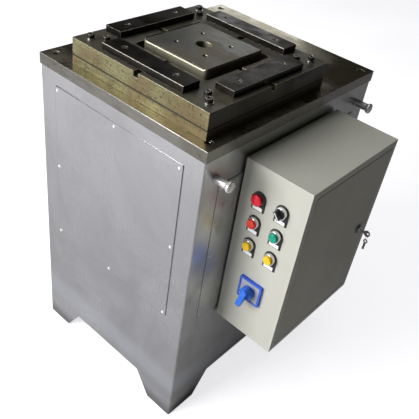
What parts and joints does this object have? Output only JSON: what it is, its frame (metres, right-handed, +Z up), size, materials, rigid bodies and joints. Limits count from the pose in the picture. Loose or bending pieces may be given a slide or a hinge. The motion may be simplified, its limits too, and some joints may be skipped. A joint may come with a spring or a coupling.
{
  "type": "die cutting press",
  "caption": "Floor-standing hydraulic die cutting press: sheet-steel cabinet on cut-out feet, bed plate with square die set, bars and lifting ram block, side control box.",
  "frame": {"origin": "middle of the four floor anchor holes, on the floor", "axes": "+Z up, -Y the front with the large cover and the button panel, +X the side that carries the control box"},
  "size_m": [0.781, 0.662, 0.949],
  "materials": {
    "corner_posts": "satin paint on hot-rolled steel",
    "frame_rails": "satin paint on hot-rolled steel",
    "floor_plate": "satin paint on hot-rolled steel",
    "front_skin": "polished stainless sheet",
    "rear_skin": "polished stainless sheet",
    "left_skin": "polished stainless sheet",
    "right_skin": "polished stainless sheet",
    "front_cover": "polished stainless sheet",
    "right_cover": "polished stainless sheet",
    "cover_screws": "bright plated",
    "bed_plate": "ground and oiled",
    "bed_bolts": "black oxide",
    "lifting_pins": "turned and polished",
    "die_lower_plate": "ground steel, oiled and stained",
    "die_upper_plate": "ground steel, oiled and stained",
    "front_bar": "dark oiled tool steel with ground edges",
    "rear_bar": "dark oiled tool steel with ground edges",
    "left_bar": "dark oiled tool steel with ground edges",
    "right_bar": "dark oiled tool steel with ground edges",
    "bar_screws": "black oxide",
    "die_screws": "black oxide",
    "die_washers": "bright plated",
    "ram_block": "ground steel",
    "piston_rod": "hard chromed",
    "rod_screws": "black oxide",
    "piston": "turned",
    "guide_rods": "hard chromed",
    "guide_bushes": "turned bronze",
    "cylinder_barrel": "gloss machine enamel",
    "cylinder_head": "gloss machine enamel",
    "head_screws": "black oxide",
    "oil_tank": "gloss machine enamel",
    "tank_lid": "gloss machine enamel",
    "motor": "machine enamel on cast aluminium",
    "motor_shaft": "turned",
    "gear_pump": "cast",
    "valve_block": "machined",
    "hydraulic_pipes": "zinc plated",
    "control_box": "grey-beige powder coat",
    "box_door": "grey-beige powder coat",
    "hinge_pins": "zinc plated",
    "lock_housing": "plated",
    "lock_plug": "plated",
    "lock_key": "nickel plated",
    "gear_plate": "passivated zinc",
    "contactors": "moulded",
    "terminal_strip": "moulded",
    "box_spacers": "turned",
    "cable_glands": "moulded nylon",
    "legend_plates": "moulded",
    "button_bezels": "plated",
    "contact_blocks": "moulded",
    "stop_button": "gloss",
    "selector_knob": "moulded",
    "red_button": "gloss",
    "green_button": "gloss",
    "left_yellow_button": "gloss",
    "right_yellow_button": "gloss",
    "cam_switch": "gloss",
    "cam_handle": "gloss"
  },
  "bodies": {
    "machine": {"corner_posts": "corner_posts", "frame_rails": "frame_rails", "floor_plate": "floor_plate", "front_skin": "front_skin", "rear_skin": "rear_skin", "left_skin": "left_skin", "right_skin": "right_skin", "front_cover": "front_cover", "right_cover": "right_cover", "cover_screws": "cover_screws", "bed_plate": "bed_plate", "bed_bolts": "bed_bolts", "lifting_pins": "lifting_pins", "die_lower_plate": "die_lower_plate", "die_upper_plate": "die_upper_plate", "front_bar": "front_bar", "rear_bar": "rear_bar", "left_bar": "left_bar", "right_bar": "right_bar", "bar_screws": "bar_screws", "die_screws": "die_screws", "die_washers": "die_washers", "guide_bushes": "guide_bushes", "cylinder_barrel": "cylinder_barrel", "cylinder_head": "cylinder_head", "head_screws": "head_screws", "oil_tank": "oil_tank", "tank_lid": "tank_lid", "motor": "motor", "gear_pump": "gear_pump", "valve_block": "valve_block", "hydraulic_pipes": "hydraulic_pipes", "control_box": "control_box", "hinge_pins": "hinge_pins", "gear_plate": "gear_plate", "contactors": "contactors", "terminal_strip": "terminal_strip", "box_spacers": "box_spacers", "cable_glands": "cable_glands", "legend_plates": "legend_plates", "button_bezels": "button_bezels", "contact_blocks": "contact_blocks", "cam_switch": "cam_switch"},
    "ram": {"ram_block": "ram_block", "piston_rod": "piston_rod", "rod_screws": "rod_screws", "piston": "piston", "guide_rods": "guide_rods"},
    "door": {"box_door": "box_door", "lock_housing": "lock_housing"},
    "lock": {"lock_plug": "lock_plug", "lock_key": "lock_key"},
    "stop": {"stop_button": "stop_button"},
    "selector": {"selector_knob": "selector_knob"},
    "red": {"red_button": "red_button"},
    "green": {"green_button": "green_button"},
    "left_yellow": {"left_yellow_button": "left_yellow_button"},
    "right_yellow": {"right_yellow_button": "right_yellow_button"},
    "cam": {"cam_handle": "cam_handle"},
    "shaft": {"motor_shaft": "motor_shaft"}
  },
  "joints": [
    {"name": "ram_lift", "type": "slide", "parent": "machine", "child": "ram", "axis": [0, 0, 1], "range_m": [0, 0.06]},
    {"name": "door_swing", "type": "hinge", "parent": "machine", "child": "door", "pos_m": [0.436, -0.165, 0.568], "axis": [0, 0, -1], "range_deg": [0, 105]},
    {"name": "lock_turn", "type": "hinge", "parent": "door", "child": "lock", "pos_m": [0.44, 0.113, 0.564], "axis": [1, 0, 0], "range_deg": [0, 90]},
    {"name": "stop_press", "type": "slide", "parent": "machine", "child": "stop", "axis": [0, 1, 0], "range_m": [0, 0.004], "stiffness_N_per_m": 800, "springref_m": -0.003},
    {"name": "selector_turn", "type": "hinge", "parent": "machine", "child": "selector", "pos_m": [0.381, -0.189, 0.731], "axis": [0, 1, 0], "range_deg": [0, 80]},
    {"name": "red_press", "type": "slide", "parent": "machine", "child": "red", "axis": [0, 1, 0], "range_m": [0, 0.004], "stiffness_N_per_m": 800, "springref_m": -0.003},
    {"name": "green_press", "type": "slide", "parent": "machine", "child": "green", "axis": [0, 1, 0], "range_m": [0, 0.004], "stiffness_N_per_m": 800, "springref_m": -0.003},
    {"name": "left_yellow_press", "type": "slide", "parent": "machine", "child": "left_yellow", "axis": [0, 1, 0], "range_m": [0, 0.004], "stiffness_N_per_m": 800, "springref_m": -0.003},
    {"name": "right_yellow_press", "type": "slide", "parent": "machine", "child": "right_yellow", "axis": [0, 1, 0], "range_m": [0, 0.004], "stiffness_N_per_m": 800, "springref_m": -0.003},
    {"name": "cam_turn", "type": "hinge", "parent": "machine", "child": "cam", "pos_m": [0.3505, -0.189, 0.475], "axis": [0, 1, 0], "range_deg": [-47, 73]},
    {"name": "shaft_spin", "type": "hinge", "parent": "machine", "child": "shaft", "pos_m": [-0.029, 0.229, 0.366], "axis": [1, 0, 0], "continuous": true}
  ]
}
